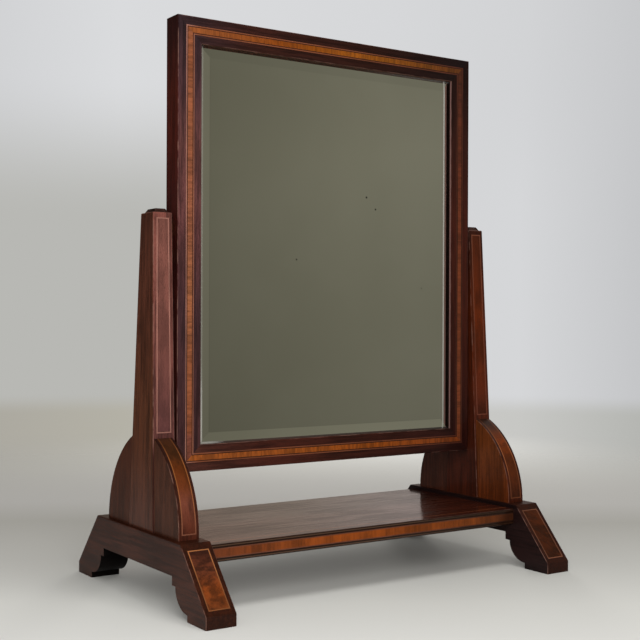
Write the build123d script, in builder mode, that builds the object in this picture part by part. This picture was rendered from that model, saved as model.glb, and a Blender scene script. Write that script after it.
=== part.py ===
from build123d import *
import math
import os

os.makedirs("parts", exist_ok=True)

# A swing mirror for a dressing table, in millimetres. X runs to the right of a person who looks into the
# glass, the front faces -Y and Z is up. The origin is on the table top, under the middle of the stand.

# Driving dimensions of the mirror
frame_width = 421.0
frame_height = 505.0
frame_thickness = 28.5
frame_face = 29.6
frame_above_shelf = 65.7
lip_thickness = 6.0
glass_rebate = 6.0
board_rebate = 9.0
board_rebate_depth = 7.0
glass_thickness = 5.0
glass_bevel_width = 17.2
glass_bevel_drop = 2.0
glass_edge_clearance = 1.5
board_thickness = 6.0
board_clearance = 0.5
block_length = 28.0
block_width = 8.0
block_board_gap = 3.0
block_end_margin = 92.0
block_count_across = 2
block_count_down = 3

# Driving dimensions of the stand
foot_length = 322.0
foot_height = 76.0
toe_height = 13.0
toe_slope_run = 55.5
foot_pad_length = 39.6
arch_height = 40.5
arch_lip_drop = 9.5
arch_lip_ledge = 7.7
arch_round_run = 26.7
heel_height = 7.0
upright_above_pivot = 31.0
upright_base_width = 27.5
upright_top_width = 23.4
upright_base_depth = 62.0
upright_top_depth = 31.0
upright_base_gap = 6.6
upright_top_gap = 4.3
upright_inner_margin = 2.1
upright_outer_margin = 5.4
tenon_width = 12.0
tenon_length = 44.0
tenon_above_arch = 7.5
cap_height = 4.5
cap_ledge = 3.2
cap_slope_run = 2.8
bracket_radius = 106.5
bracket_from_slope = 17.0
bracket_spring = 3.8
bracket_inner_setback = 1.8
bracket_outer_setback = 1.3
shelf_from_slope = 4.5
shelf_thickness = 19.0
shelf_drop = 5.2
dowel_diameter = 8.0
dowel_length = 40.0
dowel_from_tenon = 8.0
dowel_from_shelf_edge = 23.0

# Driving dimensions of the swing movement
pivot_above_middle = 3.0
pivot_from_back = 8.8
pivot_plate_length = 48.0
pivot_plate_width = 14.0
pivot_plate_thickness = 2.0
pin_diameter = 6.0
pin_tail = 8.0
pin_reach = 12.0
pin_clearance = 0.05
washer_thickness = 1.5
washer_diameter = 14.0
washer_clearance = 0.3
boss_diameter = 10.0
boss_floor = 2.0
plate_screw_spacing = 32.0

# Inlay
inlay_depth = 0.9
string_width = 1.2
line_width = 1.0
frame_band_width = 5.8
frame_band_inset = 10.2
upright_inset = 4.3
upright_top_inset = 6.0
upright_bottom_inset = 5.5
bracket_inset = 3.6
bracket_bottom_inset = 5.1
bracket_inlay_end = 0.6
foot_inset = 5.2
foot_top_inset = 8.3
foot_bottom_inset = 6.2
shelf_band_width = 8.0

# Screws
screw_diameter = 3.0
screw_head_diameter = 6.0
screw_length = 16.0
screw_tip = 3.0
screw_slot_width = 0.8
screw_slot_depth = 0.7
board_screw_edge = 4.4
board_screw_end_margin_across = 105.0
board_screw_end_margin_down = 35.0
board_screw_count_across = 2
board_screw_count_down = 3

# Worn, eased edges
arris = 1.0
upright_arris = 1.5
frame_arris = 1.2
sight_arris = 0.8
pin_arris = 0.5
glue_clearance = 0.1
overcut = 5.0

# Places that follow from the sizes: first across, then along the feet, then up
frame_outer_x = frame_width / 2
upright_top_inner = frame_outer_x + upright_top_gap
upright_top_outer = upright_top_inner + upright_top_width
upright_base_inner = frame_outer_x + upright_base_gap
upright_base_outer = upright_base_inner + upright_base_width
upright_base_x = (upright_base_inner + upright_base_outer) / 2
upright_top_x = (upright_top_inner + upright_top_outer) / 2
foot_inner_x = upright_base_inner - upright_inner_margin
foot_outer_x = upright_base_outer + upright_outer_margin
foot_middle_x = (foot_inner_x + foot_outer_x) / 2
foot_thickness = foot_outer_x - foot_inner_x
bracket_inner_x = upright_base_inner + bracket_inner_setback

toe_y = foot_length / 2
flat_y = toe_y - toe_slope_run
heel_y = toe_y - foot_pad_length
lip_y = heel_y - arch_round_run
arch_y = lip_y - arch_lip_ledge
slope_length = math.hypot(toe_slope_run, foot_height - toe_height)
shelf_front = flat_y - shelf_from_slope
bracket_reach = flat_y - bracket_from_slope
bracket_centre_y = bracket_reach - bracket_radius
frame_front = frame_thickness - pivot_from_back
frame_back = -pivot_from_back
glass_lip = frame_front - lip_thickness
board_ledge = frame_back + board_rebate_depth

lip_z = arch_height - arch_lip_drop
tenon_depth = foot_height - arch_height - tenon_above_arch
shelf_top = foot_height - shelf_drop
shelf_bottom = shelf_top - shelf_thickness
shelf_middle_z = (shelf_top + shelf_bottom) / 2
bracket_centre_z = foot_height + bracket_spring
frame_bottom = shelf_top + frame_above_shelf
frame_top = frame_bottom + frame_height
frame_middle_z = (frame_bottom + frame_top) / 2
pivot_z = frame_middle_z + pivot_above_middle
upright_top = pivot_z + upright_above_pivot
upright_height = upright_top - foot_height
upright_slope = (upright_base_depth - upright_top_depth) / 2 / upright_height


def upright_inner(z):
    """Distance from the middle of the stand to a post's inner face at height z."""
    rise = (z - foot_height) / upright_height
    return upright_base_inner + (upright_top_inner - upright_base_inner) * rise


def upright_outer(z):
    rise = (z - foot_height) / upright_height
    return upright_base_outer + (upright_top_outer - upright_base_outer) * rise


def bracket_outer(z):
    return upright_outer(z) - bracket_outer_setback


def spread(half, end_margin, count):
    """Places spread evenly over a length of twice half, less a margin at both ends."""
    return [(half - end_margin) * (2 * i / (count - 1) - 1) for i in range(count)]


def side_name(side):
    return "left" if side < 0 else "right"


def save(solid, name):
    solid.label = name
    export_step(solid, f"parts/{name}.step")


def save_group(solids, name):
    save(Compound(label=name, children=solids), name)


def prism(plane, corners, depth):
    """A flat-sided piece whose outline lies on the plane and which goes down into the plane by depth."""
    with BuildPart() as piece:
        with BuildSketch(plane):
            with BuildLine():
                Polyline(*corners, close=True)
            make_face()
        extrude(amount=-depth)
    return piece.part


def mitred_strips(plane, outer, inner, depth):
    """Four strips, mitred at the corners, between an outer and an inner four-cornered outline."""
    strips = []
    for i in range(4):
        j = (i + 1) % 4
        strips.append(prism(plane, [outer[i], outer[j], inner[j], inner[i]], depth))
    return strips


def dowel_places():
    """Where the dowels cross from the shelf into a foot, in front of and behind the post's tenon."""
    near = tenon_length / 2 + dowel_from_tenon
    far = shelf_front - dowel_from_shelf_edge
    return [(end * y, shelf_middle_z) for end in (-1, 1) for y in (near, far)]


# Feet


def slope_plane(side):
    """The sloping face of a foot's front toe. Its origin is the middle of the slope's upper edge."""
    normal = Vector(0, toe_height - foot_height, toe_slope_run)
    return Plane(origin=(side * foot_middle_x, -flat_y, foot_height), x_dir=(1, 0, 0), z_dir=normal)


def slope_outline(extra):
    half = foot_thickness / 2 - foot_inset - extra
    high = -foot_top_inset - extra
    low = -(slope_length - foot_bottom_inset - extra)
    return [(-half, low), (half, low), (half, high), (-half, high)]


def make_foot(side):
    near_x = min(side * foot_inner_x, side * foot_outer_x)
    with BuildPart() as foot:
        with BuildSketch(Plane.YZ.offset(near_x)):
            with BuildLine():
                Polyline((0, arch_height), (arch_y, arch_height), (arch_y, lip_z), (lip_y, lip_z))
                EllipticalCenterArc((heel_y, lip_z), arch_round_run, lip_z - heel_height, 180, arc_size=90)
                Polyline(
                    (heel_y, heel_height),
                    (heel_y, 0),
                    (toe_y, 0),
                    (toe_y, toe_height),
                    (flat_y, foot_height),
                    (0, foot_height),
                )
                mirror(about=Plane.YZ)
            make_face()
        extrude(amount=foot_thickness)
        upper = foot.faces().filter_by(lambda f: f.normal_at().Z > 0.1 or abs(f.normal_at().Y) > 0.9)
        upper = upper.filter_by(lambda f: abs(f.center().Y) > heel_y or f.center().Z > arch_height + arris)
        floor_edges = foot.edges().group_by(Axis.Z)[0]
        eased = [e for e in upper.edges() if e not in floor_edges]
        fillet(eased, arris)
        with BuildSketch(slope_plane(side)):
            with BuildLine():
                Polyline(*slope_outline(0), close=True)
            make_face()
        extrude(amount=-inlay_depth, mode=Mode.SUBTRACT)
        with BuildSketch(Plane.XY.offset(foot_height)):
            with Locations((side * upright_base_x, 0)):
                Rectangle(tenon_width + 2 * glue_clearance, tenon_length + 2 * glue_clearance)
        extrude(amount=-tenon_depth - glue_clearance, mode=Mode.SUBTRACT)
        with BuildSketch(Plane.YZ.offset(side * foot_inner_x)):
            with Locations(*dowel_places()):
                Circle(dowel_diameter / 2)
        extrude(amount=side * dowel_length / 2, mode=Mode.SUBTRACT)
    save(foot.part, f"{side_name(side)}_foot")


def make_foot_inlay(side):
    plane = slope_plane(side)
    strips = mitred_strips(plane, slope_outline(0), slope_outline(string_width), inlay_depth)
    save_group(strips, f"{side_name(side)}_foot_stringing")
    save(prism(plane, slope_outline(string_width), inlay_depth), f"{side_name(side)}_foot_panel")


# Uprights and their caps


def upright_front_plane():
    """The front face of both posts, which leans back. Its origin is at the foot's top, mid-stand."""
    return Plane(
        origin=(0, -upright_base_depth / 2, foot_height),
        x_dir=(1, 0, 0),
        z_dir=(0, -1, upright_slope),
    )


def upright_outline(side, extra):
    """The inlaid outline on a post's front face, parallel to its edges, drawn in by extra."""
    lean = math.hypot(1, upright_slope)
    low = bracket_top_z + upright_bottom_inset + extra
    high = upright_top - upright_top_inset - extra
    corners = []
    for z, at_inner in [(low, True), (low, False), (high, False), (high, True)]:
        inset = upright_inset + extra
        x = upright_inner(z) + inset if at_inner else upright_outer(z) - inset
        corners.append((side * x, (z - foot_height) * lean))
    return corners


def pivot_plane(side, x):
    """A plane square to the pins at distance x from the middle. Its normal points outwards."""
    return Plane(origin=(side * x, 0, pivot_z), x_dir=(0, 0, 1), z_dir=(side, 0, 0))


def make_upright(side):
    with BuildPart() as upright:
        with BuildSketch(Plane.XY.offset(foot_height)):
            with Locations((side * upright_base_x, 0)):
                Rectangle(upright_base_width, upright_base_depth)
        with BuildSketch(Plane.XY.offset(upright_top)):
            with Locations((side * upright_top_x, 0)):
                Rectangle(upright_top_width, upright_top_depth)
        loft(ruled=True)
        long_edges = upright.edges().filter_by(lambda e: e.length > upright_height / 2)
        fillet(long_edges + upright.edges().group_by(Axis.Z)[-1], upright_arris)
        with BuildSketch(Plane.XY.offset(foot_height)):
            with Locations((side * upright_base_x, 0)):
                Rectangle(tenon_width, tenon_length)
        extrude(amount=-tenon_depth)
        with BuildSketch(upright_front_plane()):
            with BuildLine():
                Polyline(*upright_outline(side, 0), close=True)
            make_face()
        extrude(amount=-inlay_depth, mode=Mode.SUBTRACT)
        with BuildSketch(pivot_plane(side, socket_face - overcut)):
            SlotOverall(pivot_plate_length, pivot_plate_width)
        extrude(amount=overcut + pivot_plate_thickness, mode=Mode.SUBTRACT)
        with BuildSketch(pivot_plane(side, socket_face)):
            Circle(boss_diameter / 2)
        extrude(amount=boss_depth, mode=Mode.SUBTRACT)
        for plane in screw_planes(side, socket_face, -1):
            add(screw_body(plane), mode=Mode.SUBTRACT)
    save(upright.part, f"{side_name(side)}_upright")


def make_upright_inlay(side):
    plane = upright_front_plane()
    panel_outline = upright_outline(side, string_width)
    strips = mitred_strips(plane, upright_outline(side, 0), panel_outline, inlay_depth)
    save_group(strips, f"{side_name(side)}_upright_stringing")
    save(prism(plane, panel_outline, inlay_depth), f"{side_name(side)}_upright_panel")


def make_upright_cap(side):
    with BuildPart() as cap:
        for z, inset in [(upright_top, cap_ledge), (upright_top + cap_height, cap_ledge + cap_slope_run)]:
            with BuildSketch(Plane.XY.offset(z)):
                with Locations((side * upright_top_x, 0)):
                    Rectangle(upright_top_width - 2 * inset, upright_top_depth - 2 * inset)
        loft(ruled=True)
        fillet(cap.edges().group_by(Axis.Z)[-1], arris)
    save(cap.part, f"{side_name(side)}_upright_cap")


# Quarter-round brackets


def bracket_angle():
    """Angle of the curve, up from level, at which it meets the leaning face of the post."""
    reach = upright_base_depth / 2 + upright_slope * foot_height
    level = (reach - bracket_centre_y - upright_slope * bracket_centre_z) / bracket_radius
    return math.atan(upright_slope) + math.acos(level / math.hypot(1, upright_slope))


def bracket_slab(side, inner_edge, outer_edge):
    """Everything between two planes that run along Y, each given as a distance at every height."""
    low = foot_height - overcut
    high = bracket_top_z + overcut
    round_trip = [(inner_edge, low), (outer_edge, low), (outer_edge, high), (inner_edge, high)]
    corners = [(edge(z), z) for edge, z in round_trip]
    plane = Plane.XZ.offset(bracket_reach + overcut)
    return prism(plane, [(side * x, z) for x, z in corners], 2 * (bracket_reach + overcut))


def curve_strip(side, first_angle, last_angle, inner_edge, outer_edge):
    """A thin piece let into the front bracket's curve, between two angles and two sloping planes."""
    near_x = min(side * (bracket_inner_x - overcut), side * (upright_base_outer + overcut))
    with BuildPart() as strip:
        with BuildSketch(Plane.YZ.offset(near_x)):
            with BuildLine():
                centre = (-bracket_centre_y, bracket_centre_z)
                start = 180 - math.degrees(last_angle)
                sweep_angle = math.degrees(last_angle - first_angle)
                outer = CenterArc(centre, bracket_radius, start, sweep_angle)
                inner = CenterArc(centre, bracket_radius - inlay_depth, start, sweep_angle)
                Line(outer @ 0, inner @ 0)
                Line(outer @ 1, inner @ 1)
            make_face()
        extrude(amount=upright_base_outer - bracket_inner_x + 2 * overcut)
        add(bracket_slab(side, inner_edge, outer_edge), mode=Mode.INTERSECT)
    return strip.part


def inset_inner(inset):
    return lambda z: bracket_inner_x + inset


def inset_outer(inset):
    return lambda z: bracket_outer(z) - inset


def make_bracket(side, end):
    near_x = min(side * bracket_inner_x, side * (upright_base_outer + overcut))
    start = 180 if end < 0 else 0
    with BuildPart() as bracket:
        with BuildSketch(Plane.YZ.offset(near_x)):
            with BuildLine():
                curve = CenterArc(
                    (end * bracket_centre_y, bracket_centre_z),
                    bracket_radius,
                    start,
                    end * math.degrees(bracket_angle()),
                )
                Polyline(
                    curve @ 1,
                    (end * upright_base_depth / 2, foot_height),
                    (end * bracket_reach, foot_height),
                    (end * bracket_reach, bracket_centre_z),
                )
            make_face()
        extrude(amount=upright_base_outer + overcut - bracket_inner_x)
        add(bracket_slab(side, inset_inner(0), inset_outer(0)), mode=Mode.INTERSECT)
        curved_face = bracket.faces().filter_by(GeomType.CYLINDER)[0]
        fillet(curved_face.edges().filter_by(lambda e: e.length > bracket_radius / 2), arris)
        if end < 0:
            recess = curve_strip(
                side, inlay_start, inlay_end, inset_inner(bracket_inset), inset_outer(bracket_inset)
            )
            add(recess, mode=Mode.SUBTRACT)
    save(bracket.part, f"{side_name(side)}_{'front' if end < 0 else 'rear'}_bracket")


def make_bracket_inlay(side):
    step = string_width / bracket_radius
    across = bracket_inset + string_width
    strings = [
        curve_strip(side, inlay_start, inlay_end, inset_inner(bracket_inset), inset_inner(across)),
        curve_strip(side, inlay_start, inlay_end, inset_outer(across), inset_outer(bracket_inset)),
        curve_strip(side, inlay_start, inlay_start + step, inset_inner(across), inset_outer(across)),
    ]
    save_group(strings, f"{side_name(side)}_bracket_stringing")
    panel = curve_strip(side, inlay_start + step, inlay_end, inset_inner(across), inset_outer(across))
    save(panel, f"{side_name(side)}_bracket_panel")


# Shelf


def shelf_strip(low, high):
    plane = Plane.XZ.offset(shelf_front)
    corners = [(-foot_inner_x, low), (foot_inner_x, low), (foot_inner_x, high), (-foot_inner_x, high)]
    return prism(plane, corners, inlay_depth)


def make_shelf():
    band_half = shelf_band_width / 2
    inlay_half = band_half + string_width
    with BuildPart() as shelf:
        with BuildSketch(Plane.XY.offset(shelf_bottom)):
            Rectangle(2 * foot_inner_x, 2 * shelf_front)
        extrude(amount=shelf_thickness)
        fillet(shelf.edges().filter_by(Axis.X), arris)
        add(shelf_strip(shelf_middle_z - inlay_half, shelf_middle_z + inlay_half), mode=Mode.SUBTRACT)
        for side in (-1, 1):
            with BuildSketch(Plane.YZ.offset(side * foot_inner_x)):
                with Locations(*dowel_places()):
                    Circle(dowel_diameter / 2)
            extrude(amount=-side * dowel_length / 2, mode=Mode.SUBTRACT)
    save(shelf.part, "shelf")
    save(shelf_strip(shelf_middle_z - band_half, shelf_middle_z + band_half), "shelf_crossband")
    strings = [
        shelf_strip(shelf_middle_z - inlay_half, shelf_middle_z - band_half),
        shelf_strip(shelf_middle_z + band_half, shelf_middle_z + inlay_half),
    ]
    save_group(strings, "shelf_edge_strings")


def make_dowels():
    dowels = []
    for side in (-1, 1):
        for place in dowel_places():
            with BuildPart() as dowel:
                with BuildSketch(Plane.YZ.offset(side * foot_inner_x - dowel_length / 2)):
                    with Locations(place):
                        Circle(dowel_diameter / 2)
                extrude(amount=dowel_length)
                chamfer(dowel.edges(), arris)
            dowels.append(dowel.part)
    save_group(dowels, "shelf_dowels")


# Mirror frame


def frame_corners(inset):
    """The corners of the frame's outline, seen from the front and drawn in by inset."""
    x = frame_width / 2 - inset
    low = frame_bottom + inset
    high = frame_top - inset
    return [(-x, low), (x, low), (x, high), (-x, high)]


def frame_strips(front, depth, outer_inset, inner_inset):
    """Bottom, right, top and left strips of the frame from y = -front backwards."""
    plane = Plane.XZ.offset(front)
    return mitred_strips(plane, frame_corners(outer_inset), frame_corners(inner_inset), depth)


frame_members = ["bottom_rail", "right_stile", "top_rail", "left_stile"]


def make_frame():
    rebate_wall = frame_face - glass_rebate
    inlay_inner = frame_band_inset + 2 * (string_width + line_width) + frame_band_width
    lip = frame_strips(frame_front, lip_thickness, 0, frame_face)
    body = frame_strips(glass_lip, glass_lip - board_ledge, 0, rebate_wall)
    back = frame_strips(board_ledge, board_rebate_depth, 0, rebate_wall - board_rebate)
    recess = frame_strips(frame_front, inlay_depth, frame_band_inset, inlay_inner)
    for i, member in enumerate(frame_members):
        side = {"left_stile": -1, "right_stile": 1}.get(member, 0)
        with BuildPart() as piece:
            add([lip[i], body[i], back[i]])
            along = Axis.Z if side else Axis.X
            long_edges = piece.edges().filter_by(along)
            outer_edges = long_edges.filter_by(lambda e: frame_distance(e) < arris)
            fillet(outer_edges, frame_arris)
            sight = piece.edges().filter_by(along).filter_by(
                lambda e: abs(frame_distance(e) - frame_face) < arris and e.center().Y < -glass_lip - arris
            )
            fillet(sight, sight_arris)
            add(recess[i], mode=Mode.SUBTRACT)
            if side:
                with BuildSketch(pivot_plane(side, frame_outer_x)):
                    SlotOverall(pivot_plate_length, pivot_plate_width)
                extrude(amount=-pivot_plate_thickness, mode=Mode.SUBTRACT)
                with BuildSketch(pivot_plane(side, frame_outer_x)):
                    Circle(pin_diameter / 2)
                extrude(amount=-pivot_plate_thickness - pin_tail, mode=Mode.SUBTRACT)
                for plane in screw_planes(side, frame_outer_x, 1):
                    add(screw_body(plane), mode=Mode.SUBTRACT)
            for plane in board_screw_planes():
                if frame_member_at(plane.origin) == member:
                    add(screw_body(plane), mode=Mode.SUBTRACT)
        save(piece.part, f"frame_{member}")


def frame_distance(edge):
    """How far inside the frame's outer edge something lies, seen from the front."""
    middle = edge.center()
    return min(frame_outer_x - abs(middle.X), middle.Z - frame_bottom, frame_top - middle.Z)


def frame_member_at(place):
    distances = {
        "left_stile": place.X + frame_outer_x,
        "right_stile": frame_outer_x - place.X,
        "bottom_rail": place.Z - frame_bottom,
        "top_rail": frame_top - place.Z,
    }
    return min(distances, key=distances.get)


def make_frame_inlay():
    rings = {}
    inset = frame_band_inset
    for name, width in [
        ("frame_outer_strings", string_width),
        ("frame_outer_lines", line_width),
        ("crossband", frame_band_width),
        ("frame_inner_lines", line_width),
        ("frame_inner_strings", string_width),
    ]:
        rings[name] = frame_strips(frame_front, inlay_depth, inset, inset + width)
        inset += width
    for strip, side in zip(rings.pop("crossband"), ["bottom", "right", "top", "left"]):
        save(strip, f"frame_{side}_crossband")
    for name, strips in rings.items():
        save_group(strips, name)


def make_plate():
    """Bevelled glass. Its lowest front edge clears the lip by as much as the bevel rises there."""
    width = frame_width - 2 * (frame_face - glass_rebate + glass_edge_clearance)
    height = frame_height - 2 * (frame_face - glass_rebate + glass_edge_clearance)
    with BuildPart() as plate:
        with BuildSketch(Plane.XZ.offset(glass_back)):
            with Locations((0, frame_middle_z)):
                Rectangle(width, height)
        extrude(amount=glass_thickness - glass_bevel_drop)
        with BuildSketch(Plane.XZ.offset(glass_back + glass_thickness - glass_bevel_drop)):
            with Locations((0, frame_middle_z)):
                Rectangle(width, height)
        with BuildSketch(Plane.XZ.offset(glass_back + glass_thickness)):
            with Locations((0, frame_middle_z)):
                Rectangle(width - 2 * glass_bevel_width, height - 2 * glass_bevel_width)
        loft(ruled=True)
    save(plate.part, "mirror_plate")


def make_plate_blocks():
    """Small blocks glued to the frame in the rebate behind the glass, short of the backboard."""
    wall_x = frame_outer_x - frame_face + glass_rebate
    wall_z = frame_height / 2 - frame_face + glass_rebate
    places = []
    for end in (-1, 1):
        for rise in spread(wall_z, block_end_margin, block_count_down):
            places.append((end * (wall_x - block_width / 2), rise, block_width, block_length))
        for x in spread(wall_x, block_end_margin, block_count_across):
            places.append((x, end * (wall_z - block_width / 2), block_length, block_width))
    blocks = []
    for x, rise, width, height in places:
        with BuildPart() as block:
            with BuildSketch(Plane.XZ.offset(glass_back)):
                with Locations((x, frame_middle_z + rise)):
                    Rectangle(width, height)
            extrude(amount=board_ledge + block_board_gap - glass_back)
            inner = block.edges().group_by(Axis.Y)[-1]
            chamfer(inner, arris)
        blocks.append(block.part)
    save_group(blocks, "plate_blocks")


def make_backboard():
    inset = frame_face - glass_rebate - board_rebate + board_clearance
    with BuildPart() as board:
        with BuildSketch(Plane.XZ.offset(board_ledge)):
            with Locations((0, frame_middle_z)):
                Rectangle(frame_width - 2 * inset, frame_height - 2 * inset)
        extrude(amount=-board_thickness)
        chamfer(board.edges().group_by(Axis.Y)[-1], arris)
        for plane in board_screw_planes():
            add(screw_body(plane), mode=Mode.SUBTRACT)
    save(board.part, "backboard")


# Screws, all of one size: countersunk and slotted


def screw_body(plane):
    """Head, shank and point, with the head's top on the plane and the point below it."""
    head_radius = screw_head_diameter / 2
    shank_radius = screw_diameter / 2
    head_depth = head_radius - shank_radius
    with BuildPart() as screw:
        with BuildSketch(Plane.XZ):
            with BuildLine():
                Polyline(
                    (0, 0),
                    (head_radius, 0),
                    (shank_radius, -head_depth),
                    (shank_radius, screw_tip - screw_length),
                    (0, -screw_length),
                    close=True,
                )
            make_face()
        revolve(axis=Axis.Z)
    return plane.location * screw.part


def make_screw(plane):
    with BuildPart() as screw:
        add(screw_body(plane))
        with BuildSketch(plane):
            Rectangle(screw_head_diameter + overcut, screw_slot_width)
        extrude(amount=-screw_slot_depth, mode=Mode.SUBTRACT)
    return screw.part


def board_screw_planes():
    inset = frame_face - glass_rebate - board_rebate + board_clearance + board_screw_edge
    half_x = frame_width / 2 - inset
    half_z = frame_height / 2 - inset
    places = []
    for end in (-1, 1):
        for rise in spread(half_z, board_screw_end_margin_down, board_screw_count_down):
            places.append((end * half_x, rise))
        for x in spread(half_x, board_screw_end_margin_across, board_screw_count_across):
            places.append((x, end * half_z))
    back = board_thickness - board_ledge
    return [
        Plane(origin=(x, back, frame_middle_z + rise), x_dir=(1, 0, 0), z_dir=(0, 1, 0))
        for x, rise in places
    ]


def screw_planes(side, x, facing):
    """Planes of a brass plate's two screws at x. Heads face away from the middle (1) or to it (-1)."""
    planes = []
    for up in (-1, 1):
        origin = (side * x, 0, pivot_z + up * plate_screw_spacing / 2)
        planes.append(Plane(origin=origin, x_dir=(0, 0, 1), z_dir=(facing * side, 0, 0)))
    return planes


# Swing movement


def make_socket_plate(side):
    """Brass plate let into the post, with a blind bored boss behind it that holds the pin."""
    with BuildPart() as plate:
        with BuildSketch(pivot_plane(side, socket_face)):
            SlotOverall(pivot_plate_length, pivot_plate_width)
        extrude(amount=pivot_plate_thickness)
        with BuildSketch(pivot_plane(side, socket_face)):
            Circle(boss_diameter / 2)
        extrude(amount=boss_depth)
        with BuildSketch(pivot_plane(side, socket_face)):
            Circle(pin_diameter / 2 + pin_clearance)
        extrude(amount=boss_depth - boss_floor, mode=Mode.SUBTRACT)
        for plane in screw_planes(side, socket_face, -1):
            add(screw_body(plane), mode=Mode.SUBTRACT)
    save(plate.part, f"{side_name(side)}_socket_plate")


def make_pivot_plate(side):
    """Brass plate let into the frame's side, with a raised collar that bears on the washer."""
    with BuildPart() as plate:
        with BuildSketch(pivot_plane(side, frame_outer_x)):
            SlotOverall(pivot_plate_length, pivot_plate_width)
        extrude(amount=-pivot_plate_thickness)
        with BuildSketch(pivot_plane(side, frame_outer_x)):
            Circle(washer_diameter / 2)
        extrude(amount=collar_height)
        with BuildSketch(pivot_plane(side, frame_outer_x - pivot_plate_thickness)):
            Circle(pin_diameter / 2)
        extrude(amount=pivot_plate_thickness + collar_height, mode=Mode.SUBTRACT)
        for plane in screw_planes(side, frame_outer_x, 1):
            add(screw_body(plane), mode=Mode.SUBTRACT)
    save(plate.part, f"{side_name(side)}_pivot_plate")


def make_pin_and_washer(side):
    with BuildPart() as pin:
        with BuildSketch(pivot_plane(side, frame_outer_x - pivot_plate_thickness - pin_tail)):
            Circle(pin_diameter / 2)
        extrude(amount=pivot_plate_thickness + pin_tail + pivot_gap + pin_reach)
        tip = pin.edges().sort_by(Axis.X)[-1 if side > 0 else 0]
        chamfer(tip, pin_arris)
    save(pin.part, f"{side_name(side)}_pivot_pin")
    with BuildPart() as washer:
        with BuildSketch(pivot_plane(side, frame_outer_x + collar_height)):
            Circle(washer_diameter / 2)
            Circle(pin_diameter / 2, mode=Mode.SUBTRACT)
        extrude(amount=washer_thickness)
    save(washer.part, f"{side_name(side)}_friction_washer")


# Places that follow from the helpers above
bracket_top_z = bracket_centre_z + bracket_radius * math.sin(bracket_angle())
inlay_start = math.asin((bracket_bottom_inset - bracket_spring) / bracket_radius)
inlay_end = bracket_angle() - bracket_inlay_end / bracket_radius
socket_face = upright_inner(pivot_z)
pivot_gap = socket_face - frame_outer_x
collar_height = pivot_gap - washer_thickness - washer_clearance
boss_depth = pin_reach + washer_clearance + boss_floor
bevel_rise = glass_bevel_drop * (glass_rebate - glass_edge_clearance) / glass_bevel_width
glass_back = glass_lip - glass_thickness + glass_bevel_drop - bevel_rise

for side in (-1, 1):
    make_foot(side)
    make_foot_inlay(side)
    make_upright(side)
    make_upright_inlay(side)
    make_upright_cap(side)
    for end in (-1, 1):
        make_bracket(side, end)
    make_bracket_inlay(side)
    make_socket_plate(side)
    make_pivot_plate(side)
    make_pin_and_washer(side)

make_shelf()
make_dowels()
make_frame()
make_frame_inlay()
make_plate()
make_plate_blocks()
make_backboard()
save_group([make_screw(plane) for plane in board_screw_planes()], "backboard_screws")
save_group(
    [make_screw(plane) for side in (-1, 1) for plane in screw_planes(side, socket_face, -1)],
    "socket_plate_screws",
)
save_group(
    [make_screw(plane) for side in (-1, 1) for plane in screw_planes(side, frame_outer_x, 1)],
    "pivot_plate_screws",
)

print("frame", round(frame_bottom, 2), round(frame_top, 2), "pivot height", round(pivot_z, 2))
print("gap at the pivots", round(pivot_gap, 3), "collar", round(collar_height, 3))
print("bracket top", round(bracket_top_z, 2), "glass back", round(glass_back, 2))
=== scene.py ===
# %% [markdown]
# # A swing mirror for a dressing table
#
# A framed, bevelled glass hangs on two pins between tapering posts. The posts stand on two shaped feet,
# with a shelf between them. Everything outside is polished mahogany, let in with light stringing and an
# orange-brown crossbanding. The shapes come from the joiner's drawing, as solids that don't change. What
# is made here is the light, the camera and above all the timber: each board gets its own cut of grain.

# %% Load the drawing
import math
import random

import bmesh
import bpy
from mathutils import Euler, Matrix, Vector


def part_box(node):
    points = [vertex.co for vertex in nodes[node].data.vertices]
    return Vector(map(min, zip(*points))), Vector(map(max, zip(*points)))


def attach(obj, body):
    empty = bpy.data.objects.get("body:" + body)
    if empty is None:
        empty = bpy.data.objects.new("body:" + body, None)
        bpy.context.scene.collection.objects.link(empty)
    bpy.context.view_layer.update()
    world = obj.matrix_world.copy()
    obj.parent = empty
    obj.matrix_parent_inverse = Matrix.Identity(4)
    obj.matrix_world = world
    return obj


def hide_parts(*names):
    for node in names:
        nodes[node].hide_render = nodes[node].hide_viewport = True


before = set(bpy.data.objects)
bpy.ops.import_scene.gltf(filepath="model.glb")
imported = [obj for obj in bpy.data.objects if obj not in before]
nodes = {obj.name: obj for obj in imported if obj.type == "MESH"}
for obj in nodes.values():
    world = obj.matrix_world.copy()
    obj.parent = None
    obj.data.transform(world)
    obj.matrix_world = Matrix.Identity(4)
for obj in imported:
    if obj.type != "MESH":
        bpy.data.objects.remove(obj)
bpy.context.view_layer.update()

# %% [markdown]
# ## The camera
#
# The photographer stood to the left of the mirror and held the camera level, a little below the middle of
# the glass. Place, turn and focal length were found by matching the drawing's corners to the photograph.
# They are written as plain numbers, since a fitted camera has no rounder ones.

# %% Place the camera
scene = bpy.context.scene
camera = bpy.data.objects.new("camera", bpy.data.cameras.new("camera"))
scene.collection.objects.link(camera)
camera.location = (-0.79939, -1.17573, 0.30933)
turn_right, tilt_down, roll = 33.94, 0.172, 0.2114
heading = Euler((0, 0, math.radians(-turn_right))).to_matrix()
pitch = Euler((math.radians(90 - tilt_down), 0, 0)).to_matrix()
sideways = Euler((0, 0, math.radians(roll))).to_matrix()
camera.rotation_euler = (heading @ pitch @ sideways).to_euler()
camera.data.sensor_width = 36.0
camera.data.lens = 65.91
scene.camera = camera
scene.view_settings.view_transform = "Standard"
middle = Vector((0, 0, 0.32))
print("camera stands", round((camera.location - middle).length, 3), "m from the mirror")

# %% [markdown]
# ## Colours
#
# Colours are easiest to judge in the 0 to 255 numbers of a picture, but light is added up in linear
# numbers. One helper turns the first into the second.


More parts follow.
